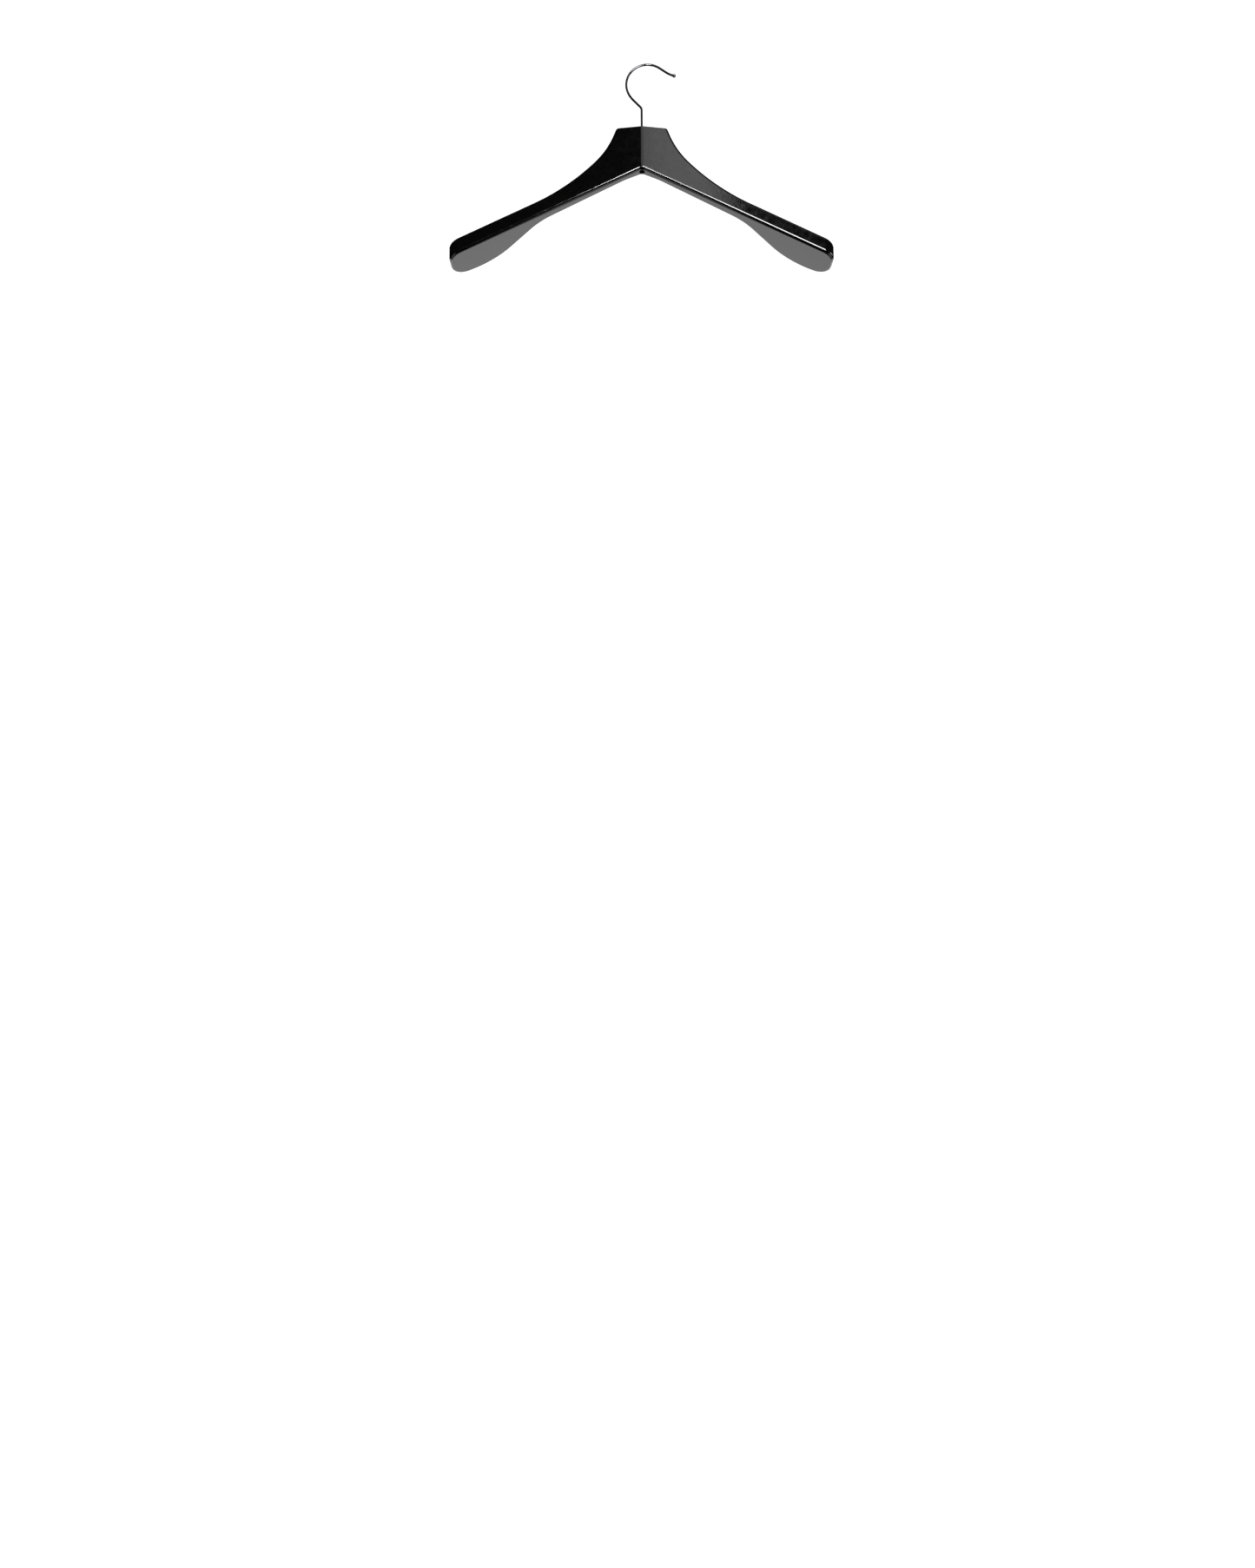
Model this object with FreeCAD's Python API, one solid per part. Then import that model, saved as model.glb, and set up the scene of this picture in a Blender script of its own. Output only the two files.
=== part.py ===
import FreeCAD, Part

# A broad-shouldered wooden clothes hanger with a swivel hook, as separate solids.
# Frame: millimetres, +X to the right as seen from the front, +Y to the back, +Z up.
# The origin is the saddle of the hook, the highest point of its inner side, where a rail bears.
# The arms are mirror images about the plane through the stem. They are drawn about x = 0, so
# that x there is the distance out from the centre, and then moved to the stem.

import math
import os

Vector = FreeCAD.Vector

# Overall size
OVERALL_WIDTH = 445.0
SHOULDER_SLOPE = 21.4        # degrees, of the wing and of the arm's lower edge
SWEEP = 8.0                  # degrees, how far each arm runs back from the crease

# Hook wire
WIRE_R = 1.25
HOOK_R = 24.3                # radius of the wire's centre line
HOOK_FROM = 204.0            # degrees round the hook's centre, where it leaves for the neck
HOOK_TO = 56.0               # degrees, where it leaves for the tip
STEM_X = -7.0                # the stem stands to the left of the hook's centre
WAIST_R = 30.0               # where the arc eases into the straight run to the stem
RUN_ANGLE = 46.0             # degrees below level, of that run
STEM_BEND_Z = -51.2
STEM_BEND_R = 6.0
TIP_RUN = 14.3               # straight run from the arc to the tip's bend
TIP_BEND_R = 30.0
TIP_FALL = 15.0              # degrees below level at the ball
TIP_LENGTH = 5.0
BALL_R = 1.9

# Neck, seen from the front
NECK_TOP = -75.4
NECK_CORNER_OUT = 28.7       # where the neck's top and flank would meet
NECK_CORNER_R = 4.0
FLANK_LENGTH = 8.3           # straight part of the flank, from that corner
FLANK_ANGLE = 67.0           # degrees below level
FLANK_MID_ANGLE = 42.0       # where the flank's curve eases into the shoulder's
FLANK_R = 85.0
SHOULDER_R = 230.0
APEX_Z = -126.2              # where the two lower edges would meet
APEX_R = 8.0

# Arm, seen from above
NECK_FRONT = -6.5            # y of the crease
NECK_BACK = 7.0              # y of the neck's flat back
NECK_BACK_OUT = 20.0         # half width of that flat
ARM_BACK_ANGLE = 10.3        # degrees, back face between the neck and the wing
WING_BACK = 70.0             # y of the wing's back edge
FLARE_OUT = 139.5            # a point on the straight part of the flare
FLARE_BACK = 42.3
FLARE_ANGLE = 38.5           # degrees
FLARE_IN_R = 55.0
FLARE_OUT_R = 80.0
TIP_FRONT_R = 15.0
TIP_BACK_R = 18.0
EDGE_R = 3.0                 # rounding of the long edges

# Glued finger joint between the arms
FINGERS = 7
FINGER_REACH = 6.0           # how far a finger crosses the centre plane

# Swivel
STEM_HOLE_R = 1.9
RUNNING_GAP = 0.05           # radial, stem in bush
BUSH_R = 2.4
BUSH_LENGTH = 10.0
BUSH_FLANGE_R = 3.0
BUSH_FLANGE_T = 0.5
RECESS_R = 3.3
RECESS_DEPTH = 6.5           # above the apex
WASHER_R = 3.0
WASHER_T = 0.8
WASHER_GAP = 0.1             # radial, round the stem
THRUST_GAP = 0.1             # axial, between washer and nut
NUT_FLATS = 5.0
NUT_T = 2.0
STEM_PROUD = 1.0             # stem below the nut

# Worked out from the above
HALF_WIDTH = OVERALL_WIDTH / 2
SLOPE = math.tan(math.radians(SHOULDER_SLOPE))
RECESS_ROOF = APEX_Z + RECESS_DEPTH
NUT_TOP = RECESS_ROOF - WASHER_T - THRUST_GAP
STEM_END = NUT_TOP - NUT_T - STEM_PROUD
FAR = 300.0                  # reaches past the hanger on every side
UP = Vector(0, 0, 1)


def along(point, degrees, distance):
    """The point that far from a point, at an angle above level."""
    angle = math.radians(degrees)
    return point[0] + math.cos(angle) * distance, point[1] + math.sin(angle) * distance


def crossing(p, p_degrees, q, q_degrees):
    """Where the line through p at one angle meets the line through q at another."""
    turn = math.sin(math.radians(q_degrees - p_degrees))
    across, rise = along((0, 0), q_degrees, 1)
    return along(p, p_degrees, ((q[0] - p[0]) * rise - (q[1] - p[1]) * across) / turn)


def arc_about(centre, radius, start, end):
    """First, middle and last point of an arc between two angles round its centre."""
    return [along(centre, angle, radius) for angle in (start, (start + end) / 2, end)]


def hollow_arc(start, radius, fall_from, fall_to):
    """An arc that eases from one fall below level to a shallower one, hollow side up."""
    centre = along(start, 90 - fall_from, radius)
    return arc_about(centre, radius, 270 - fall_from, 270 - fall_to)


def in_elevation(x, z):
    return Vector(x, 0, z)


def in_plan(x, y):
    return Vector(x, y, 0)


def arc_edge(points, place):
    return Part.Arc(*[place(*p) for p in points]).toShape()


def run_edges(corners, place):
    """Straight runs through open corners (point, radius), each rounded to its radius."""
    vertices = [place(*point) for point, _ in corners]
    edges = []
    start = vertices[0]
    for i in range(1, len(corners) - 1):
        radius = corners[i][1]
        back = (vertices[i - 1] - vertices[i]).normalize()
        ahead = (vertices[i + 1] - vertices[i]).normalize()
        half = back.getAngle(ahead) / 2
        tangent = radius / math.tan(half)
        crest = vertices[i] + (back + ahead).normalize() * (radius / math.sin(half) - radius)
        arc_start = vertices[i] + back * tangent
        arc_end = vertices[i] + ahead * tangent
        edges.append(Part.LineSegment(start, arc_start).toShape())
        edges.append(Part.Arc(arc_start, crest, arc_end).toShape())
        start = arc_end
    edges.append(Part.LineSegment(start, vertices[-1]).toShape())
    return edges


def thick(edges, way):
    """The outline's face, made 2 * FAR thick about its own plane."""
    block = Part.Face(Part.Wire(edges)).extrude(way * (2 * FAR))
    block.translate(way * -FAR)
    return block


def cylinder(radius, bottom, top):
    """An upright cylinder on the stem's axis."""
    return Part.makeCylinder(radius, top - bottom, Vector(STEM_X, 0, bottom), UP)


def elevation_block():
    """The right arm's outline from the front."""
    corner = (NECK_CORNER_OUT, NECK_TOP)
    flank_end = along(corner, -FLANK_ANGLE, FLANK_LENGTH)
    flank = hollow_arc(flank_end, FLANK_R, FLANK_ANGLE, FLANK_MID_ANGLE)
    shoulder = hollow_arc(flank[-1], SHOULDER_R, FLANK_MID_ANGLE, SHOULDER_SLOPE)
    wing_top = along(shoulder[-1], -SHOULDER_SLOPE, FAR)
    wing_low = (wing_top[0], APEX_Z - SLOPE * wing_top[0])
    apex_centre = (0, APEX_Z - APEX_R / math.cos(math.radians(SHOULDER_SLOPE)))
    apex = arc_about(apex_centre, APEX_R, 90 - SHOULDER_SLOPE, 90)
    edges = run_edges([((0, NECK_TOP), 0), (corner, NECK_CORNER_R), (flank_end, 0)], in_elevation)
    edges.append(arc_edge(flank, in_elevation))
    edges.append(arc_edge(shoulder, in_elevation))
    for start, end in [(shoulder[-1], wing_top), (wing_top, wing_low), (wing_low, apex[0])]:
        edges += run_edges([(start, 0), (end, 0)], in_elevation)
    edges.append(arc_edge(apex, in_elevation))
    edges += run_edges([(apex[-1], 0), ((0, NECK_TOP), 0)], in_elevation)
    return thick(edges, Vector(0, 1, 0))


def plan_block():
    """The right arm's outline from above."""
    crease = (0, NECK_FRONT)
    flat_end = (NECK_BACK_OUT, NECK_BACK)
    flare = (FLARE_OUT, FLARE_BACK)
    corners = [
        (crease, 0),
        (crossing(crease, SWEEP, (HALF_WIDTH, 0), 90), TIP_FRONT_R),
        ((HALF_WIDTH, WING_BACK), TIP_BACK_R),
        (crossing(flare, FLARE_ANGLE, (0, WING_BACK), 0), FLARE_OUT_R),
        (crossing(flat_end, ARM_BACK_ANGLE, flare, FLARE_ANGLE), FLARE_IN_R),
        (flat_end, FLARE_IN_R),
        ((0, NECK_BACK), 0),
    ]
    edges = run_edges(corners, in_plan)
    edges += run_edges([((0, NECK_BACK), 0), (crease, 0)], in_plan)
    return thick(edges, UP)


def long_edges(solid):
    """Edges where an upright wall meets the top or the underside, not at the centre plane."""
    def steepness(face, point):
        u, v = face.Surface.parameter(point)
        return abs(face.normalAt(u, v).z)

    chosen = []
    for edge in solid.Edges:
        point = edge.valueAt((edge.FirstParameter + edge.LastParameter) / 2)
        beside = [face for face in solid.Faces if any(e.isSame(edge) for e in face.Edges)]
        wall, other = sorted(steepness(face, point) for face in beside)
        if point.x > EDGE_R / 100 and wall < 0.01 and other > 0.1:
            chosen.append(edge)
    return chosen


def arm_blank():
    """The right arm up to the centre plane, with its long edges rounded."""
    blank = elevation_block().common(plan_block()).Solids[0].removeSplitter()
    return blank.makeFillet(EDGE_R, long_edges(blank))


def right_region():
    """The space of the right arm, with fingers and slots in turn across the centre plane."""
    pitch = (NECK_TOP - APEX_Z) / FINGERS
    levels = [-FAR, *[APEX_Z + i * pitch for i in range(1, FINGERS)], FAR]
    layers = []
    for i, (low, high) in enumerate(zip(levels, levels[1:])):
        start = FINGER_REACH if i % 2 else -FINGER_REACH
        layers.append(Part.makeBox(2 * FAR, 2 * FAR, high - low, Vector(start, -FAR, low)))
    return layers[0].multiFuse(layers[1:]).removeSplitter()


def arms():
    """Left and right arm, with the joint, the stem's hole, the bush's seat and the recess."""
    right = arm_blank()
    left = right.mirror(Vector(0, 0, 0), Vector(1, 0, 0))
    whole = right.fuse(left).removeSplitter()
    region = right_region()
    stem_hole = cylinder(STEM_HOLE_R, RECESS_ROOF, NECK_TOP)
    bush_seat = cylinder(BUSH_R, NECK_TOP - BUSH_LENGTH, NECK_TOP + EDGE_R)
    recess = cylinder(RECESS_R, APEX_Z - EDGE_R, RECESS_ROOF)
    halves = {}
    for name, half in (("left_arm", whole.cut(region)), ("right_arm", whole.common(region))):
        half.translate(Vector(STEM_X, 0, 0))
        halves[name] = half.cut([stem_hole, bush_seat, recess])
    return halves


def hook():
    """One wire: stem, neck bend, round hook, reversed tip and ball."""
    arc = arc_about((0, WIRE_R - HOOK_R), HOOK_R, HOOK_FROM, HOOK_TO)
    stem_end = (STEM_X, STEM_END)
    stem_bend = (STEM_X, STEM_BEND_Z)
    waist = crossing(arc[0], HOOK_FROM + 90, stem_bend, -RUN_ANGLE)
    tip_bend = along(arc[-1], HOOK_TO - 90, TIP_RUN)
    tip = along(tip_bend, -TIP_FALL, TIP_LENGTH)
    corners = [(stem_end, 0), (stem_bend, STEM_BEND_R), (waist, WAIST_R), (arc[0], 0)]
    edges = run_edges(corners, in_elevation)
    edges.append(arc_edge(arc, in_elevation))
    edges += run_edges([(arc[-1], 0), (tip_bend, TIP_BEND_R), (tip, 0)], in_elevation)
    route = Part.Wire(edges)
    section = Part.Wire(Part.makeCircle(WIRE_R, in_elevation(*stem_end), UP))
    wire = route.makePipeShell([section], True, False)
    print(f"hook: wire {route.Length:.1f} mm long, volume {wire.Volume:.0f}, "
          f"section times length {math.pi * WIRE_R ** 2 * route.Length:.0f}")
    return wire.fuse(Part.makeSphere(BALL_R, in_elevation(*tip))).removeSplitter()


def neck_bush():
    """Flanged bush in the neck's top, in which the stem turns."""
    body = cylinder(BUSH_R, NECK_TOP - BUSH_LENGTH, NECK_TOP)
    flange = cylinder(BUSH_FLANGE_R, NECK_TOP, NECK_TOP + BUSH_FLANGE_T)
    bore = cylinder(WIRE_R + RUNNING_GAP, NECK_TOP - BUSH_LENGTH, NECK_TOP + BUSH_FLANGE_T)
    return body.fuse(flange).cut(bore).removeSplitter()


def washer():
    """Flat washer on the roof of the recess."""
    ring = cylinder(WASHER_R, RECESS_ROOF - WASHER_T, RECESS_ROOF)
    return ring.cut(cylinder(WIRE_R + WASHER_GAP, RECESS_ROOF - WASHER_T, RECESS_ROOF))


def retaining_nut():
    """Hexagon nut, locked on the stem's thread."""
    corner_r = NUT_FLATS / 2 / math.cos(math.radians(30))
    centre = (STEM_X, 0)
    corners = [Vector(*along(centre, 60 * i, corner_r), NUT_TOP - NUT_T) for i in range(7)]
    prism = Part.Face(Part.makePolygon(corners)).extrude(UP * NUT_T)
    return prism.cut(cylinder(WIRE_R, NUT_TOP - NUT_T, NUT_TOP))


def main():
    os.makedirs("parts", exist_ok=True)
    nodes = arms()
    nodes["hook"] = hook()
    nodes["neck_bush"] = neck_bush()
    nodes["washer"] = washer()
    nodes["retaining_nut"] = retaining_nut()
    for name, shape in nodes.items():
        box = shape.BoundBox
        print(f"{name}: {len(shape.Solids)} solid, valid {shape.isValid()}, "
              f"volume {shape.Volume:.0f}, x {box.XMin:.1f} {box.XMax:.1f}, "
              f"y {box.YMin:.1f} {box.YMax:.1f}, z {box.ZMin:.1f} {box.ZMax:.1f}")
        shape.exportStep(f"parts/{name}.step")


main()
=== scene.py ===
import math

import bpy
import numpy as np
from mathutils import Matrix, Vector


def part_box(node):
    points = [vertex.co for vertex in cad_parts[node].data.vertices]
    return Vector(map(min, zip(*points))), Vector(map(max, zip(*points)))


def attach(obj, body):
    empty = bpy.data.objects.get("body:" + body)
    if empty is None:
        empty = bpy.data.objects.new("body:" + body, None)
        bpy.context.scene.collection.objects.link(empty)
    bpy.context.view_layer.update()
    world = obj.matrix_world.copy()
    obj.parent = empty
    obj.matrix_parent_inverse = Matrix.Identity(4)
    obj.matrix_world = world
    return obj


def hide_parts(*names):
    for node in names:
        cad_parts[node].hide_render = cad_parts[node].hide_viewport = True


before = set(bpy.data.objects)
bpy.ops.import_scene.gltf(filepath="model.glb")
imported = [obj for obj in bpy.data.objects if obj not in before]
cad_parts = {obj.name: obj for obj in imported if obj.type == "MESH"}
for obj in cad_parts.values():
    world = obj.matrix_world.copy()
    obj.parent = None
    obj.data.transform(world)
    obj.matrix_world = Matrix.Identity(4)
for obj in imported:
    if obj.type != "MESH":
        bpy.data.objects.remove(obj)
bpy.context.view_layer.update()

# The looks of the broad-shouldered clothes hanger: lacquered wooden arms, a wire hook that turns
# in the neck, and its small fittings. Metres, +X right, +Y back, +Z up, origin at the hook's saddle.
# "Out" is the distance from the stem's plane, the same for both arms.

MM = 0.001


def high(node):
    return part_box(node)[1]


def low(node):
    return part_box(node)[0]


# Taken from the frame
STEM_X = (low("neck_bush").x + high("neck_bush").x) / 2
HALF_WIDTH = high("right_arm").x - STEM_X
CREASE_Y = low("right_arm").y
WING_BACK = high("right_arm").y
NECK_TOP = high("right_arm").z
BUSH_TOP = high("neck_bush").z
BUSH_FOOT = low("neck_bush").z
BUSH_FLANGE_R = high("neck_bush").x - STEM_X
ROOF = high("washer").z
WASHER_FOOT = low("washer").z
WASHER_R = high("washer").x - STEM_X
NUT_TOP = high("retaining_nut").z
NUT_FOOT = low("retaining_nut").z
NUT_FLATS = high("retaining_nut").y - low("retaining_nut").y
STEM_END = low("hook").z

# Hook wire
WIRE_R = 1.25 * MM
HOOK_R = 24.3 * MM
HOOK_FROM = 204.0            # degrees round the hook's centre, where it leaves for the neck
HOOK_TO = 56.0               # degrees, where it leaves for the tip
WAIST_R = 30.0 * MM          # where the arc eases into the straight run to the stem
RUN_ANGLE = 46.0             # degrees below level, of that run
STEM_BEND_Z = -51.2 * MM
STEM_BEND_R = 6.0 * MM
TIP_RUN = 14.3 * MM
TIP_BEND_R = 30.0 * MM
TIP_FALL = 15.0              # degrees below level at the ball
TIP_LENGTH = 5.0 * MM
BALL_R = 1.9 * MM
BALL_REACH = 1.6             # how far the ball's blend into the wire reaches, in ball radii
BALL_BLEND = 8               # the greater, the sharper the step from wire to ball
THREAD_PITCH = 0.5 * MM
THREAD_DEPTH = 0.16 * MM

# Arm, seen from the front
SHOULDER_SLOPE = 21.4        # degrees
NECK_CORNER_OUT = 28.7 * MM
NECK_CORNER_R = 4.0 * MM
FLANK_LENGTH = 8.3 * MM
FLANK_ANGLE = 67.0           # degrees below level
FLANK_MID_ANGLE = 42.0
FLANK_R = 85.0 * MM
SHOULDER_R = 230.0 * MM
APEX_Z = -126.2 * MM
APEX_R = 8.0 * MM

# Arm, seen from above
SWEEP = 8.0                  # degrees
CREASE_R = 9.0 * MM
NECK_BACK = 7.0 * MM
NECK_BACK_OUT = 20.0 * MM
ARM_BACK_ANGLE = 10.3        # degrees
FLARE_OUT = 139.5 * MM
FLARE_BACK = 42.3 * MM
FLARE_ANGLE = 38.5           # degrees
FLARE_IN_R = 55.0 * MM
FLARE_OUT_R = 80.0 * MM
TIP_FRONT_R = 15.0 * MM
TIP_BACK_R = 18.0 * MM
EDGE_R = 3.0 * MM
CROWN = 0.07                 # fall of the wing's top towards the back, as a share of its depth
WING_RULE_FROM = 0.5         # share of the half width where the top edge starts to follow the wing's rule
WING_RULE_OVER = 0.2         # share over which it takes that rule on

# Bores in the neck
STEM_HOLE_R = 1.9 * MM
BUSH_R = 2.4 * MM
RECESS_R = 3.3 * MM

# Fittings
STEM_GAP = 0.05 * MM         # radial, stem in bush
WASHER_GAP = 0.1 * MM        # radial, stem in washer
BUSH_EASE = 0.15 * MM        # broken edges
WASHER_EASE = 0.12 * MM
STEM_CHAMFER = 0.35 * MM
NUT_COUNTERSINK = 0.25 * MM
NUT_CHAMFER_FROM = 0.97      # where the nut's chamfer starts, as a share of its half width
NUT_CHAMFER_ANGLE = 30.0     # degrees

# Fineness of the meshes
NECK_SPACING = 0.6 * MM
BACK_SPACING = 0.5 * MM
WIRE_SPACING = 0.8 * MM
FLANK_STEPS = 32
SHOULDER_STEPS = 48
WING_STEPS = 44
HOOK_STEPS = 120
THREAD_STEPS = 60
BALL_STEPS = 40
WIRE_SIDES = 40
LATHE_SIDES = 72
NUT_SIDES = 96               # a multiple of 12, so that the corners and flats are met
FILLET_STEPS = 7
WALL_STEPS = 6
FIELD_STEPS = 18
TIP_STEPS = 26
SUPPORT = 0.25 * MM          # a row this close to each fillet keeps the broad faces flat

SLOPE = math.tan(math.radians(SHOULDER_SLOPE))
TAN_SWEEP = math.tan(math.radians(SWEEP))


def along(point, degrees, distance):
    """The point that far from a point, at an angle above level."""
    angle = math.radians(degrees)
    return point[0] + math.cos(angle) * distance, point[1] + math.sin(angle) * distance


def crossing(p, p_degrees, q, q_degrees):
    """Where the line through p at one angle meets the line through q at another."""
    turn = math.sin(math.radians(q_degrees - p_degrees))
    across, rise = along((0, 0), q_degrees, 1)
    return along(p, p_degrees, ((q[0] - p[0]) * rise - (q[1] - p[1]) * across) / turn)


def line_steps(start, end, count):
    """Points after start up to end, with the direction of travel in degrees."""
    way = math.degrees(math.atan2(end[1] - start[1], end[0] - start[0]))
    return [(start[0] + (end[0] - start[0]) * i / count,
             start[1] + (end[1] - start[1]) * i / count, way) for i in range(1, count + 1)]


def arc_steps(centre, radius, start, end, count):
    """Points after an arc's start up to its end, with the direction of travel in degrees."""
    steps = []
    for i in range(1, count + 1):
        angle = start + (end - start) * i / count
        steps.append((*along(centre, angle, radius), angle + math.copysign(90, end - start)))
    return steps


def rounded_path(corners, spacing):
    """Straight runs through open corners (point, radius), each rounded, as steps."""
    steps = []
    start = corners[0][0]
    for (before, _), (corner, radius), (after, _) in zip(corners, corners[1:], corners[2:]):
        arrive = math.degrees(math.atan2(corner[1] - before[1], corner[0] - before[0]))
        leave = math.degrees(math.atan2(after[1] - corner[1], after[0] - corner[0]))
        turn = (leave - arrive + 180) % 360 - 180
        side = math.copysign(90, turn)
        tangent = radius * math.tan(math.radians(abs(turn) / 2))
        arc_start = along(corner, arrive + 180, tangent)
        centre = along(arc_start, arrive + side, radius)
        run = math.dist(start, arc_start)
        steps += line_steps(start, arc_start, max(1, round(run / spacing)))
        count = max(4, round(radius * math.radians(abs(turn)) / spacing))
        steps += arc_steps(centre, radius, arrive - side, arrive - side + turn, count)
        start = steps[-1][:2]
    end = corners[-1][0]
    return steps + line_steps(start, end, max(1, round(math.dist(start, end) / spacing)))


def new_object(name, points, faces):
    mesh = bpy.data.meshes.new(name)
    mesh.from_pydata([tuple(p) for p in points], [], faces)
    mesh.validate()
    made = bpy.data.objects.new(name, mesh)
    bpy.context.scene.collection.objects.link(made)
    return made


def shade(piece, sharp_degrees=32):
    """Smooth shading that breaks at sharp edges."""
    mesh = piece.data
    faces_at = {}
    for face in mesh.polygons:
        face.use_smooth = True
        for key in face.edge_keys:
            faces_at.setdefault(key, []).append(face.normal.copy())
    limit = math.radians(sharp_degrees)
    for edge in mesh.edges:
        normals = faces_at.get(tuple(sorted(edge.vertices)), [])
        edge.use_edge_sharp = len(normals) != 2 or normals[0].angle(normals[1], 0) > limit


def lathe(name, profile):
    """A closed (radius, z) profile turned about the stem's axis, with no point in the arms' joint."""
    points, faces = [], []
    for i in range(LATHE_SIDES):
        angle = 2 * math.pi * (i + 0.5) / LATHE_SIDES
        for radius, z in profile:
            points.append((STEM_X + radius * math.cos(angle), radius * math.sin(angle), z))
    count = len(profile)
    for i in range(LATHE_SIDES):
        here, there = i * count, (i + 1) % LATHE_SIDES * count
        for j in range(count):
            k = (j + 1) % count
            faces.append((here + j, there + j, there + k, here + k))
    return new_object(name, points, faces)


# ---------------------------------------------------------------- arms

def top_profile():
    """Steps down the arm's upper line from the stem: out, z, and direction in degrees."""
    corner = (NECK_CORNER_OUT, NECK_TOP)
    flank_end = along(corner, -FLANK_ANGLE, FLANK_LENGTH)
    steps = [(0, NECK_TOP, 0)]
    corners = [((0, NECK_TOP), 0), (corner, NECK_CORNER_R), (flank_end, 0)]
    steps += rounded_path(corners, NECK_SPACING)
    centre = along(flank_end, 90 - FLANK_ANGLE, FLANK_R)
    steps += arc_steps(centre, FLANK_R, 270 - FLANK_ANGLE, 270 - FLANK_MID_ANGLE, FLANK_STEPS)
    start = steps[-1][:2]
    centre = along(start, 90 - FLANK_MID_ANGLE, SHOULDER_R)
    ease_to = 270 - SHOULDER_SLOPE
    steps += arc_steps(centre, SHOULDER_R, 270 - FLANK_MID_ANGLE, ease_to, SHOULDER_STEPS)
    wing = steps[-1]
    wing_out = HALF_WIDTH - TIP_BACK_R
    end = (wing_out, wing[1] - SLOPE * (wing_out - wing[0]))
    return steps + line_steps(wing[:2], end, WING_STEPS)


def underside(out):
    """Height of the arm's lower line and how fast it falls, at a distance out."""
    reach = APEX_R * math.sin(math.radians(SHOULDER_SLOPE))
    if out >= reach:
        return APEX_Z - SLOPE * out, SLOPE
    centre = APEX_Z - APEX_R / math.cos(math.radians(SHOULDER_SLOPE))
    rise = math.sqrt(APEX_R ** 2 - out ** 2)
    return centre + rise, out / rise


def front_line(out):
    """y of the front face, with the crease eased."""
    reach = CREASE_R * math.sin(math.radians(SWEEP))
    if out >= reach:
        return CREASE_Y + TAN_SWEEP * out
    ridge = CREASE_Y + CREASE_R / math.cos(math.radians(SWEEP))
    return ridge - math.sqrt(CREASE_R ** 2 - out ** 2)


def back_path():
    """Steps along the arm's back, from the stem out to the wing's straight back edge."""
    flat_end = (NECK_BACK_OUT, NECK_BACK)
    flare = (FLARE_OUT, FLARE_BACK)
    corners = [
        ((0, NECK_BACK), 0),
        (flat_end, FLARE_IN_R),
        (crossing(flat_end, ARM_BACK_ANGLE, flare, FLARE_ANGLE), FLARE_IN_R),
        (crossing(flare, FLARE_ANGLE, (0, WING_BACK), 0), FLARE_OUT_R),
        ((HALF_WIDTH, WING_BACK), 0),
    ]
    return np.array([(0, NECK_BACK, 0), *rounded_path(corners, BACK_SPACING)])


BACK = back_path()


def back_line(out):
    return float(np.interp(out, BACK[:, 0], BACK[:, 1]))


def back_heading(out):
    """Direction of the back face there, in degrees back from straight out."""
    return float(np.interp(out, BACK[:, 0], BACK[:, 2]))


def back_stretch(out):
    """How much longer a step in y is than the same step square to the back face."""
    return 1 / math.cos(math.radians(back_heading(out)))


def corner_walk(corner, radius, arrive, hand, turn, start, steps):
    """Points along a rounded corner of the wing's tip, with the inward direction."""
    tangent = radius * math.tan(math.radians(turn / 2))
    arc_start = along(corner, arrive + 180, tangent)
    centre = along(arc_start, arrive + 90 * hand, radius)
    straight = math.dist(start, arc_start)
    whole = straight + radius * math.radians(turn)
    walk = []
    for i in range(1, steps + 1):
        length = whole * i / steps
        if length < straight:
            walk.append((along(start, arrive, length), arrive + 90 * hand))
        else:
            inward = arrive + hand * (90 + math.degrees((length - straight) / radius))
            walk.append((along(centre, inward + 180, radius), inward))
    return walk


class Column:
    """One upright line of the arm's skin: where it stands and which way is inward.

    On the front and back, side names the face, top is a step of the upper line, and wing_share
    says how far the rounding there follows the wing's rule. Round the tip, point is given.
    """

    def __init__(self, point, inward, top=None, wing_share=1.0, side=None):
        self.point = point
        self.inward = inward
        self.top = top
        self.wing_share = wing_share
        self.side = side

    def place(self, out, depth):
        """Plan position that deep inside the outline."""
        if self.side == "front":
            return out, front_line(out) + depth / math.cos(math.radians(SWEEP))
        if self.side == "back":
            return out, back_line(out) - depth * back_stretch(out)
        return along(self.point, self.inward, depth)

    def rise_inward(self, slope):
        """How fast a face that falls outwards rises, square to the wall and along it."""
        across, back = along((0, 0), self.inward, 1)
        return -slope * across, slope * abs(back)


def crown(out, y):
    """Fall of the arm's top towards its back edge."""
    front, back = front_line(out), back_line(out)
    share = max(0.0, (y - front) / (back - front))
    return CROWN * (back - front - (NECK_BACK - CREASE_Y)) * share ** 2


def wing_top(out):
    end = TOP[-1]
    return end[1] - SLOPE * (out - end[0])


def rolled(across, along_wall, share):
    """A rounded edge between a wall and a face that slopes by those two amounts.

    Share 0 is on the wall and 1 on the face. Gives the depth from the wall and the distance
    from the face, measured upright.
    """
    reach = math.hypot(1, along_wall)
    angle = share * (math.pi / 2 + math.atan(across / reach))
    depth = EDGE_R * (1 - math.cos(angle))
    centre = EDGE_R * math.hypot(reach, across)
    return depth, centre + across * (EDGE_R - depth) - EDGE_R * reach * math.sin(angle)


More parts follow.
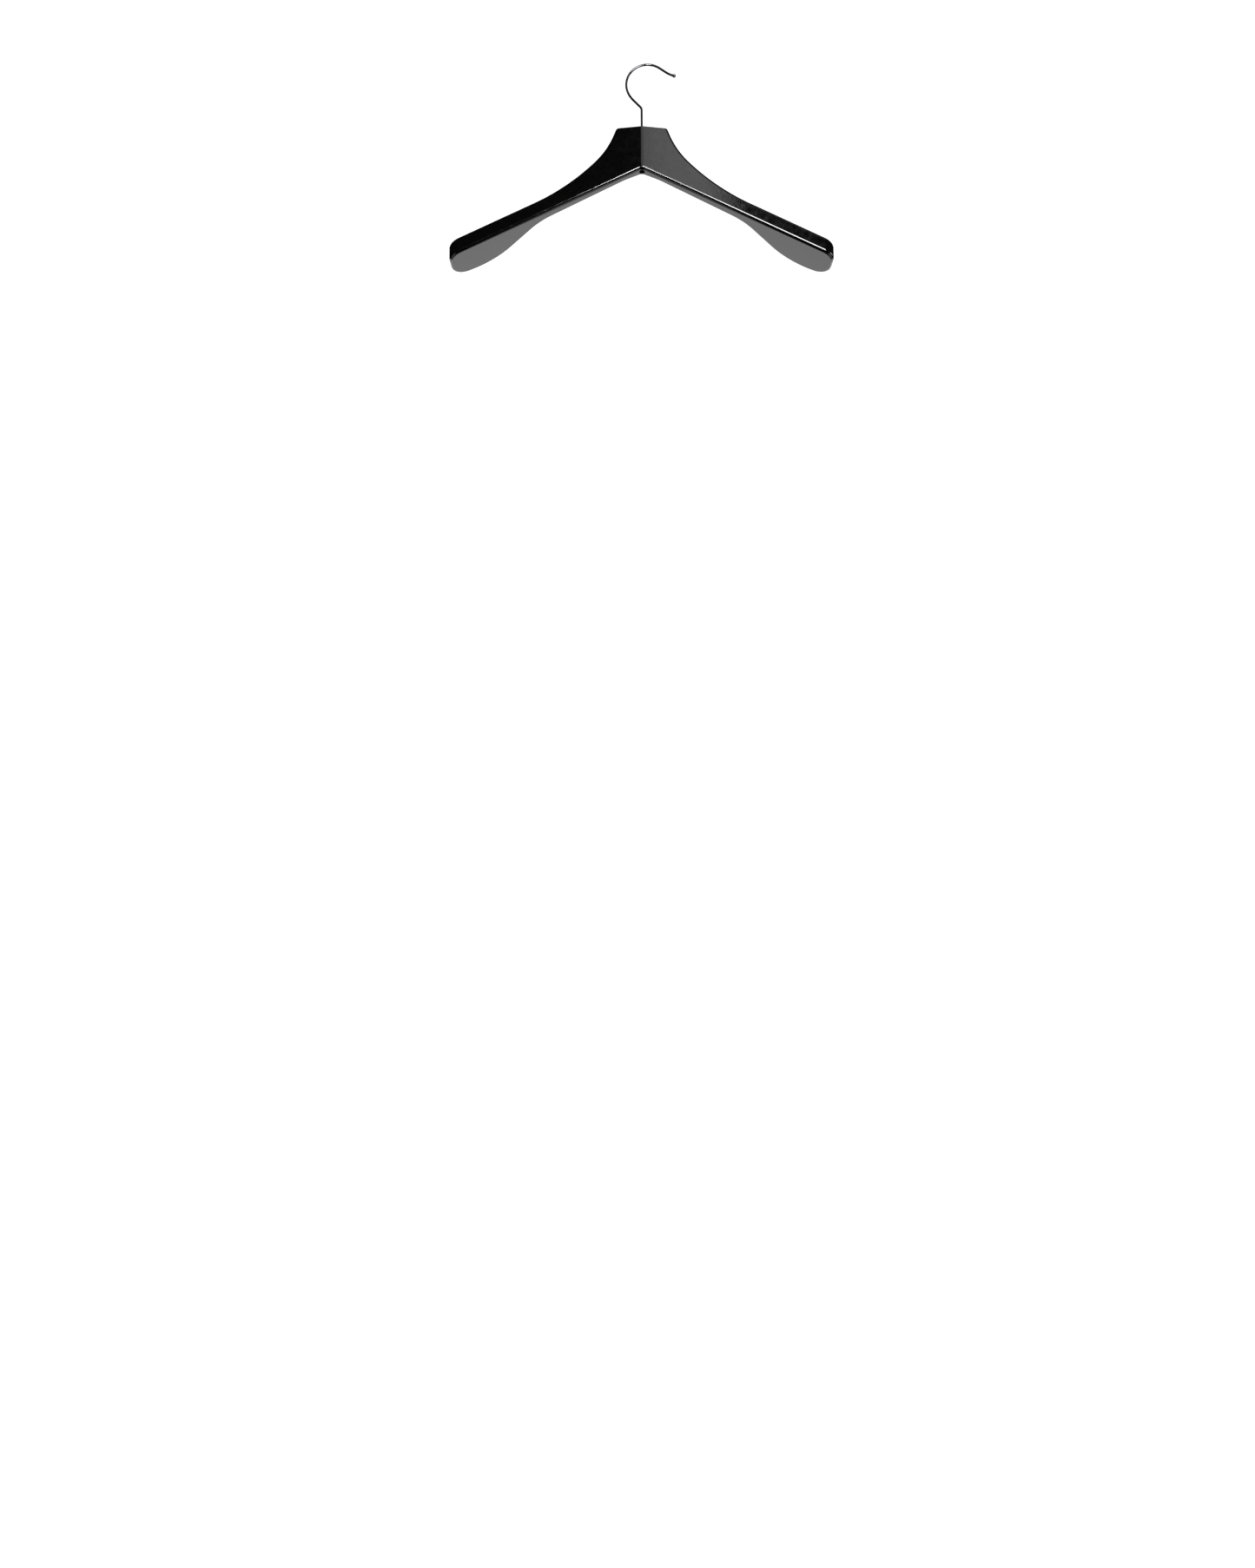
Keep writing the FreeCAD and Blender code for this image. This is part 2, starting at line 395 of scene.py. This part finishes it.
def top_point(column, share):
    """A point of the rounded upper edge: share 0 on the wall, 1 on the top."""
    across, along_wall = column.rise_inward(SLOPE)
    depth, drop = rolled(-across, along_wall, share)
    if column.top is None:
        out, y = column.place(None, depth)
        return out, y, wing_top(out) - drop - crown(out, y)
    out, z, way = column.top
    y = column.place(out, depth)[1]
    wing = Vector((out, y, z - drop - crown(out, y)))
    depth, drop = rolled(0, 0, share)
    normal_out, normal_up = along((0, 0), way + 90, 1)
    out -= normal_out * drop
    y = column.place(out, depth)[1]
    neck = Vector((out, y, z - drop * normal_up - crown(out, y)))
    return tuple(neck.lerp(wing, column.wing_share))


def low_point(column, share):
    """A point of the rounded lower edge: share 0 on the wall, 1 on the underside."""
    middle = column.top[0] if column.top else None
    slope = underside(middle)[1] if column.top else SLOPE
    depth, lift = rolled(*column.rise_inward(slope), share)
    out, y = column.place(middle, depth)
    return out, y, underside(out)[0] + lift


def with_supports(steps, length):
    """Even shares of a length, with one more close to each end."""
    near = min(0.5 / steps, SUPPORT / length)
    return [near, *[i / steps for i in range(1, steps)], 1 - near]


def skin_column(column):
    """The column's points from the underside's rim, up the wall, to the top's rim."""
    shares = [i / FILLET_STEPS for i in range(FILLET_STEPS + 1)]
    points = [low_point(column, share) for share in reversed(shares)]
    foot, head = points[-1], top_point(column, 0)
    for t in with_supports(WALL_STEPS, head[2] - foot[2]):
        out = foot[0] + (head[0] - foot[0]) * t
        y = column.place(out, 0)[1] if column.side else foot[1]
        points.append((out, y, foot[2] + (head[2] - foot[2]) * t))
    return points + [top_point(column, share) for share in shares]


TOP = top_profile()


def arm_columns():
    """Front columns from the stem to the tip, back columns, and those of the end face."""
    front, back = [], []
    for step in TOP:
        beyond = step[0] - WING_RULE_FROM * HALF_WIDTH
        wing_share = min(1.0, max(0.0, beyond / (WING_RULE_OVER * HALF_WIDTH)))
        front.append(Column(None, 90 + SWEEP, step, wing_share, "front"))
        back.append(Column(None, back_heading(step[0]) - 90, step, wing_share, "back"))
    out = TOP[-1][0]
    front_corner = (HALF_WIDTH, CREASE_Y + TAN_SWEEP * HALF_WIDTH)
    front += [Column(*step) for step in corner_walk(
        front_corner, TIP_FRONT_R, SWEEP, 1, 90 - SWEEP, (out, front_line(out)), TIP_STEPS)]
    back += [Column(*step) for step in corner_walk(
        (HALF_WIDTH, WING_BACK), TIP_BACK_R, 0, -1, 90, (out, WING_BACK), TIP_STEPS)]
    y_from, y_to = front[-1].point[1], back[-1].point[1]
    end = [Column((HALF_WIDTH, y_from + (y_to - y_from) * t), 180)
           for t in with_supports(FIELD_STEPS, y_to - y_from)]
    return front, back, end


def field(points, faces, front_rim, back_rim, end_rim, height, upwards):
    """Fills the top or the underside between its rims with rows of quads."""
    rows = []
    last = len(front_rim) - 1
    for j, (a, b) in enumerate(zip(front_rim, back_rim)):
        if j == last:
            rows.append([a, *end_rim, b])
            continue
        row = [a]
        for t in with_supports(FIELD_STEPS, math.dist(points[a], points[b])):
            out = points[a][0] + (points[b][0] - points[a][0]) * t
            y = points[a][1] + (points[b][1] - points[a][1]) * t
            points.append((out, y, height(j, out, y)))
            row.append(len(points) - 1)
        rows.append([*row, b])
    for here, there in zip(rows, rows[1:]):
        for i in range(len(here) - 1):
            quad = (here[i], there[i], there[i + 1], here[i + 1])
            faces.append(quad if upwards else quad[::-1])
    return rows[0]


def arm(name, side):
    """One lacquered arm: side is 1 for the right arm and -1 for the left."""
    front, back, end = arm_columns()
    ring = [*front, *end, *reversed(back)]
    points, faces = [], []
    for column in ring:
        points += skin_column(column)
    tall = len(points) // len(ring)
    for i in range(len(ring) - 1):
        for j in range(tall - 1):
            here = i * tall + j
            faces.append((here, here + tall, here + tall + 1, here + 1))

    def rim(level):
        ids = [i * tall + level for i in range(len(ring))]
        count = len(front)
        return ids[:count], ids[count + len(end):][::-1], ids[count:count + len(end)]

    def top_height(j, out, y):
        z = TOP[j][1] if j < len(TOP) else wing_top(out)
        return z - crown(out, y)

    low_row = field(points, faces, *rim(0), lambda j, out, y: underside(out)[0], False)
    top_row = field(points, faces, *rim(tall - 1), top_height, True)
    behind = (len(ring) - 1) * tall
    cap = list(range(tall)) + top_row[1:-1]
    cap += [behind + j for j in reversed(range(tall))] + low_row[1:-1][::-1]
    faces.append(tuple(cap))
    placed = [(STEM_X + side * out, y, z) for out, y, z in points]
    if side < 0:
        faces = [face[::-1] for face in faces]
    piece = new_object(name, placed, faces)
    return bored(piece)


def bored(piece):
    """Cuts the bush's seat, the stem's hole and the nut's recess out of an arm."""
    profile = [
        (0, APEX_Z - 2 * EDGE_R), (RECESS_R, APEX_Z - 2 * EDGE_R), (RECESS_R, ROOF),
        (STEM_HOLE_R, ROOF), (STEM_HOLE_R, BUSH_FOOT), (BUSH_R, BUSH_FOOT),
        (BUSH_R, NECK_TOP + EDGE_R), (0, NECK_TOP + EDGE_R),
    ]
    cutter = lathe("bore_cutter", profile)
    weld(cutter)
    cut = piece.modifiers.new("bores", "BOOLEAN")
    cut.operation = "DIFFERENCE"
    cut.solver = "EXACT"
    cut.object = cutter
    apply_modifiers(piece)
    bpy.data.objects.remove(cutter)
    return piece


def weld(piece):
    """Joins the points that a lathe leaves doubled on its axis."""
    join = piece.modifiers.new("weld", "WELD")
    join.merge_threshold = 0.001 * MM
    apply_modifiers(piece)


def apply_modifiers(piece):
    graph = bpy.context.evaluated_depsgraph_get()
    baked = bpy.data.meshes.new_from_object(piece.evaluated_get(graph))
    piece.modifiers.clear()
    piece.data = baked


# ---------------------------------------------------------------- hook and fittings

def hook_route():
    """The wire's centre line from the stem's end to the ball, as (x, z, direction) steps."""
    centre = (0, WIRE_R - HOOK_R)
    leave = along(centre, HOOK_FROM, HOOK_R)
    arrive = along(centre, HOOK_TO, HOOK_R)
    stem_foot = (STEM_X, STEM_END)
    thread_top = (STEM_X, NUT_TOP + THREAD_PITCH)
    stem_bend = (STEM_X, STEM_BEND_Z)
    waist = crossing(leave, HOOK_FROM + 90, stem_bend, -RUN_ANGLE)
    tip_bend = along(arrive, HOOK_TO - 90, TIP_RUN)
    tip = along(tip_bend, -TIP_FALL, TIP_LENGTH)
    steps = [(*stem_foot, 90), *line_steps(stem_foot, thread_top, THREAD_STEPS)]
    neck = [(thread_top, 0), (stem_bend, STEM_BEND_R), (waist, WAIST_R), (leave, 0)]
    steps += rounded_path(neck, WIRE_SPACING)
    steps += arc_steps(centre, HOOK_R, HOOK_FROM, HOOK_TO, HOOK_STEPS)
    steps += rounded_path([(arrive, 0), (tip_bend, TIP_BEND_R), (tip, 0)], WIRE_SPACING)
    ball_end = along(tip, -TIP_FALL, BALL_R)
    steps = [step for step in steps if math.dist(step[:2], tip) > BALL_REACH * BALL_R]
    return steps + line_steps(steps[-1][:2], ball_end, BALL_STEPS), tip


def hook_radius(x, z, tip, turn):
    """The wire's radius: thread and chamfer at the foot, then plain, then the ball."""
    from_ball = math.dist((x, z), tip)
    if from_ball < BALL_REACH * BALL_R:
        beyond = (x - tip[0]) * math.cos(math.radians(TIP_FALL))
        ball = math.sqrt(max(0.0, BALL_R ** 2 - from_ball ** 2))
        if beyond > 0:
            return ball
        return (WIRE_R ** BALL_BLEND + ball ** BALL_BLEND) ** (1 / BALL_BLEND)
    if x == STEM_X and z < NUT_TOP:
        phase = (z / THREAD_PITCH - turn / (2 * math.pi)) % 1
        groove = THREAD_DEPTH * abs(2 * phase - 1)
        chamfer = max(0.0, STEM_CHAMFER - (z - STEM_END))
        return WIRE_R - max(groove, chamfer)
    return WIRE_R


def wire_hook():
    steps, tip = hook_route()
    points, faces = [], []
    for x, z, way in steps:
        outward = along((0, 0), way + 90, 1)
        for i in range(WIRE_SIDES):
            turn = 2 * math.pi * i / WIRE_SIDES
            radius = hook_radius(x, z, tip, turn)
            across = radius * math.cos(turn)
            points.append((x + outward[0] * across, radius * math.sin(turn), z + outward[1] * across))
    for i in range(len(steps) - 1):
        for j in range(WIRE_SIDES):
            k = (j + 1) % WIRE_SIDES
            here, there = i * WIRE_SIDES, (i + 1) * WIRE_SIDES
            faces.append((here + j, there + j, there + k, here + k))
    faces.append(tuple(range(WIRE_SIDES)))
    piece = new_object("wire_hook", points, faces)
    weld(piece)
    return piece


def neck_bush():
    """Flanged bush, its edges broken."""
    ease = BUSH_EASE
    bore = WIRE_R + STEM_GAP
    profile = [
        (bore, BUSH_FOOT), (BUSH_R - ease, BUSH_FOOT), (BUSH_R, BUSH_FOOT + ease), (BUSH_R, NECK_TOP),
        (BUSH_FLANGE_R, NECK_TOP), (BUSH_FLANGE_R, BUSH_TOP - 2 * ease),
        (BUSH_FLANGE_R - 0.6 * ease, BUSH_TOP - 0.6 * ease), (BUSH_FLANGE_R - 2 * ease, BUSH_TOP),
        (bore + ease, BUSH_TOP), (bore, BUSH_TOP - ease),
    ]
    return lathe("flanged_bush", profile)


def flat_washer():
    """Stamped washer: rounded on its upper rim, with a broken lower edge."""
    ease = WASHER_EASE
    bore = WIRE_R + WASHER_GAP
    profile = [
        (bore, WASHER_FOOT + ease), (bore + ease, WASHER_FOOT), (WASHER_R - ease, WASHER_FOOT),
        (WASHER_R, WASHER_FOOT + ease), (WASHER_R, ROOF - 2 * ease),
        (WASHER_R - 0.6 * ease, ROOF - 0.6 * ease), (WASHER_R - 2 * ease, ROOF), (bore, ROOF),
    ]
    return lathe("flat_washer", profile)


def hex_nut():
    """Hexagon nut with both faces chamfered and the bore countersunk."""
    bore = WIRE_R
    chamfer_from = NUT_FLATS / 2 * NUT_CHAMFER_FROM
    fall = math.tan(math.radians(NUT_CHAMFER_ANGLE))
    points, faces = [], []
    for i in range(NUT_SIDES):
        turn = 2 * math.pi * i / NUT_SIDES
        off_flat = (turn % (math.pi / 3)) - math.pi / 6
        rim = NUT_FLATS / 2 / math.cos(off_flat)
        cut = (rim - chamfer_from) * fall
        section = [
            (bore, NUT_FOOT + NUT_COUNTERSINK), (bore + NUT_COUNTERSINK, NUT_FOOT), (chamfer_from, NUT_FOOT),
            (rim, NUT_FOOT + cut), (rim, NUT_TOP - cut), (chamfer_from, NUT_TOP),
            (bore + NUT_COUNTERSINK, NUT_TOP), (bore, NUT_TOP - NUT_COUNTERSINK),
        ]
        for radius, z in section:
            points.append((STEM_X + radius * math.cos(turn), radius * math.sin(turn), z))
    count = len(section)
    for i in range(NUT_SIDES):
        here, there = i * count, (i + 1) % NUT_SIDES * count
        for j in range(count):
            k = (j + 1) % count
            faces.append((here + j, there + j, there + k, here + k))
    return new_object("hex_nut", points, faces)


# ---------------------------------------------------------------- materials

class Shader:
    """A new material's node tree, with short ways to add and join nodes."""

    def __init__(self, name):
        self.material = bpy.data.materials.new(name)
        self.material.use_nodes = True
        self.nodes = self.material.node_tree.nodes
        self.surface = self.nodes["Principled BSDF"]
        self.place = self.nodes.new("ShaderNodeTexCoord").outputs["Object"]

    def join(self, source, target):
        self.material.node_tree.links.new(source, target)

    def noise(self, scale, detail=3.0, turn=(0, 0, 0), stretch=(1, 1, 1)):
        """Noise of that many features a metre, turned and stretched."""
        mapping = self.nodes.new("ShaderNodeMapping")
        mapping.inputs["Rotation"].default_value = [math.radians(a) for a in turn]
        mapping.inputs["Scale"].default_value = stretch
        texture = self.nodes.new("ShaderNodeTexNoise")
        texture.inputs["Scale"].default_value = scale
        texture.inputs["Detail"].default_value = detail
        self.join(self.place, mapping.inputs["Vector"])
        self.join(mapping.outputs["Vector"], texture.inputs["Vector"])
        return texture.outputs["Fac"]

    def spread(self, value, low_to, high_to, low_from=0.3, high_from=0.7):
        """Maps a noise value onto another range."""
        node = self.nodes.new("ShaderNodeMapRange")
        node.inputs["From Min"].default_value = low_from
        node.inputs["From Max"].default_value = high_from
        node.inputs["To Min"].default_value = low_to
        node.inputs["To Max"].default_value = high_to
        self.join(value, node.inputs["Value"])
        return node.outputs["Result"]

    def tint(self, value, dark, light):
        """Colours between two, following a noise value."""
        ramp = self.nodes.new("ShaderNodeValToRGB")
        ramp.color_ramp.elements[0].position = 0.35
        ramp.color_ramp.elements[0].color = (*dark, 1)
        ramp.color_ramp.elements[1].position = 0.65
        ramp.color_ramp.elements[1].color = (*light, 1)
        self.join(value, ramp.inputs["Fac"])
        return ramp.outputs["Color"]

    def bump(self, height, depth, under=None):
        """A bump of that depth in metres, on top of another bump."""
        node = self.nodes.new("ShaderNodeBump")
        node.inputs["Strength"].default_value = 1.0
        node.inputs["Distance"].default_value = depth
        self.join(height, node.inputs["Height"])
        if under is not None:
            self.join(under, node.inputs["Normal"])
        return node.outputs["Normal"]


def lacquer(name, tilt):
    """Black semi-gloss lacquer over close-grained wood, the grain running down the arm."""
    made = Shader(name)
    grain = made.noise(1400, 4, (0, tilt, 0), (0.03, 1, 1))
    peel = made.noise(420, 2)
    cloud = made.noise(160, 5)
    made.join(made.tint(grain, (0.0006, 0.0006, 0.0007), (0.0014, 0.0013, 0.0012)),
              made.surface.inputs["Base Color"])
    made.join(made.spread(cloud, 0.07, 0.15), made.surface.inputs["Roughness"])
    fine = made.bump(grain, 0.002 * MM)
    made.join(made.bump(peel, 0.04 * MM, fine), made.surface.inputs["Normal"])
    made.surface.inputs["IOR"].default_value = 1.5
    return made.material


def black_steel():
    """Polished black nickel on drawn wire."""
    made = Shader("black_nickel")
    haze = made.noise(900, 4)
    drawn = made.noise(2600, 3, stretch=(1, 1, 0.06))
    made.join(made.tint(haze, (0.055, 0.055, 0.058), (0.08, 0.079, 0.082)),
              made.surface.inputs["Base Color"])
    made.join(made.spread(haze, 0.08, 0.15), made.surface.inputs["Roughness"])
    made.join(made.bump(drawn, 0.001 * MM), made.surface.inputs["Normal"])
    made.surface.inputs["Metallic"].default_value = 1.0
    return made.material


def zinc_steel():
    """Bright zinc plating with a crystalline mottle."""
    made = Shader("zinc_plate")
    mottle = made.noise(2200, 3)
    made.join(made.tint(mottle, (0.3, 0.3, 0.31), (0.42, 0.42, 0.41)), made.surface.inputs["Base Color"])
    made.join(made.spread(mottle, 0.25, 0.42), made.surface.inputs["Roughness"])
    made.join(made.bump(mottle, 0.002 * MM), made.surface.inputs["Normal"])
    made.surface.inputs["Metallic"].default_value = 1.0
    return made.material


# ---------------------------------------------------------------- pieces

def finish_piece(piece, material, body, node):
    shade(piece)
    piece.data.materials.clear()
    piece.data.materials.append(material)
    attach(piece, body)
    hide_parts(node)


def build_hanger():
    steel = black_steel()
    zinc = zinc_steel()
    right_finish = lacquer("lacquer_right", SHOULDER_SLOPE)
    left_finish = lacquer("lacquer_left", -SHOULDER_SLOPE)
    wood = "hanger_body"
    finish_piece(arm("lacquered_arm_right", 1), right_finish, wood, "right_arm")
    finish_piece(arm("lacquered_arm_left", -1), left_finish, wood, "left_arm")
    finish_piece(wire_hook(), steel, "hook_body", "hook")
    finish_piece(neck_bush(), steel, wood, "neck_bush")
    finish_piece(flat_washer(), zinc, wood, "washer")
    finish_piece(hex_nut(), zinc, "hook_body", "retaining_nut")


# ---------------------------------------------------------------- studio

FLOOR_Z = -1.75
STUDIO_R = 7.0
STUDIO_SIDES = 96
STUDIO_GLOW = 1.1            # keeps the floor and backdrop near white
TARGET = Vector((STEM_X, 0, -0.12))
SOFTBOX_AWAY = 2.6
AIR = 0.006                  # faint light from everywhere else

# Softboxes: name, range of azimuth, range of elevation (degrees), radiance. The lacquer mirrors
# them: the keys draw the lines along the arms' lower edges, the fills grey the faces in front,
# and those below and behind grey the underside and the edges' lower half.
SOFTBOXES = [
    ("key_right", (9.5, 30), (-6, 18), 26),
    ("key_left", (-3.5, 3.5), (-7, 6), 60),
    ("fill_front", (-10, 24.4), (22, 44), 0.9),
    ("fill_boundary", (17.5, 24.4), (24, 40), 0.8),
    ("flank_right", (29, 60), (34, 43), 0.9),
    ("top_right", (-8, 40), (56, 76), 3),
    ("side_right", (75, 100), (0, 14), 6),
    ("back", (125, 235), (-48, 12), 1.4),
    ("floor_right", (60, 125), (-72, -40), 1.2),
    ("floor_left", (-125, -50), (-72, -42), 0.8),
    ("overhead", (140, 220), (60, 88), 0.8),
]


def direction(azimuth, elevation):
    """Unit vector: azimuth 0 is in front of the hanger (-Y), 90 to its right (+X)."""
    a, e = math.radians(azimuth), math.radians(elevation)
    return Vector((math.sin(a) * math.cos(e), -math.cos(a) * math.cos(e), math.sin(e)))


def softbox(name, azimuths, elevations, radiance):
    """A square-on area light that fills those angles as seen from the neck."""
    way = direction(sum(azimuths) / 2, sum(elevations) / 2)
    tilt = math.cos(math.radians(sum(elevations) / 2))
    width = 2 * SOFTBOX_AWAY * math.tan(math.radians(abs(azimuths[1] - azimuths[0]) / 2)) * tilt
    height = 2 * SOFTBOX_AWAY * math.tan(math.radians(abs(elevations[1] - elevations[0]) / 2))
    light = bpy.data.lights.new(name, "AREA")
    light.shape = "RECTANGLE"
    light.size = width
    light.size_y = height
    light.energy = 4 * radiance * width * height
    lamp = bpy.data.objects.new(name, light)
    bpy.context.scene.collection.objects.link(lamp)
    lamp.location = TARGET + way * SOFTBOX_AWAY
    lamp.rotation_euler = way.to_track_quat("Z", "Y").to_euler()
    lamp.visible_camera = False


def pale(name, lightness):
    made = Shader(name)
    made.surface.inputs["Base Color"].default_value = (lightness, lightness, lightness, 1)
    made.surface.inputs["Roughness"].default_value = 0.9
    made.surface.inputs["Emission Color"].default_value = (lightness, lightness, lightness, 1)
    made.surface.inputs["Emission Strength"].default_value = STUDIO_GLOW
    return made.material


def studio():
    """Pale floor and backdrop, seen by the camera, and softboxes that the lacquer mirrors."""
    rim = [along((0, 0), 360 * i / STUDIO_SIDES, STUDIO_R) for i in range(STUDIO_SIDES)]
    floor = new_object("floor", [(x, y, FLOOR_Z) for x, y in rim], [tuple(range(STUDIO_SIDES))])
    wall_points = [(x, y, z) for z in (FLOOR_Z, STUDIO_R) for x, y in rim]
    wall_faces = []
    for i in range(STUDIO_SIDES):
        j = (i + 1) % STUDIO_SIDES
        wall_faces.append((i, j, STUDIO_SIDES + j, STUDIO_SIDES + i))
    wall_faces.append(tuple(range(STUDIO_SIDES, 2 * STUDIO_SIDES)))
    backdrop = new_object("backdrop", wall_points, wall_faces)
    floor.data.materials.append(pale("pale_floor", 0.9))
    backdrop.data.materials.append(pale("pale_backdrop", 0.95))
    for piece in (floor, backdrop):
        piece.visible_glossy = False
        piece.visible_diffuse = False

    for box in SOFTBOXES:
        softbox(*box)

    world = bpy.data.worlds.new("studio_air")
    world.use_nodes = True
    world.node_tree.nodes["Background"].inputs["Color"].default_value = (AIR, AIR, AIR, 1)
    bpy.context.scene.world = world


# ---------------------------------------------------------------- camera

CAMERA_AWAY = 1307 * MM
CAMERA_SIDE = -22.8 * MM
CAMERA_DOWN = -819.4 * MM
HANGER_PITCH = 4.77          # degrees, the hanger's foot swung towards the camera
HANGER_YAW = 0.46
HANGER_ROLL = 0.29
FOCAL_LENGTH = 26.3          # millimetres, as the next
SENSOR_WIDTH = 36.0
NEAR = 10 * MM


def make_camera():
    """A level camera, seen from the hanger's own frame, which hangs slightly tipped."""
    roll = Matrix.Rotation(math.radians(-HANGER_ROLL), 4, "Y")
    yaw = Matrix.Rotation(math.radians(HANGER_YAW), 4, "Z")
    pitch = Matrix.Rotation(math.radians(-HANGER_PITCH), 4, "X")
    level = Matrix.Translation((CAMERA_SIDE, -CAMERA_AWAY, CAMERA_DOWN))
    facing = Matrix.Rotation(math.radians(90), 4, "X")
    camera = bpy.data.objects.new("camera", bpy.data.cameras.new("camera"))
    bpy.context.scene.collection.objects.link(camera)
    camera.matrix_world = (pitch @ yaw @ roll).inverted() @ level @ facing
    camera.data.lens = FOCAL_LENGTH
    camera.data.sensor_width = SENSOR_WIDTH
    camera.data.clip_start = NEAR
    bpy.context.scene.camera = camera


bpy.context.scene.view_settings.view_transform = "Standard"
make_camera()
build_hanger()
studio()
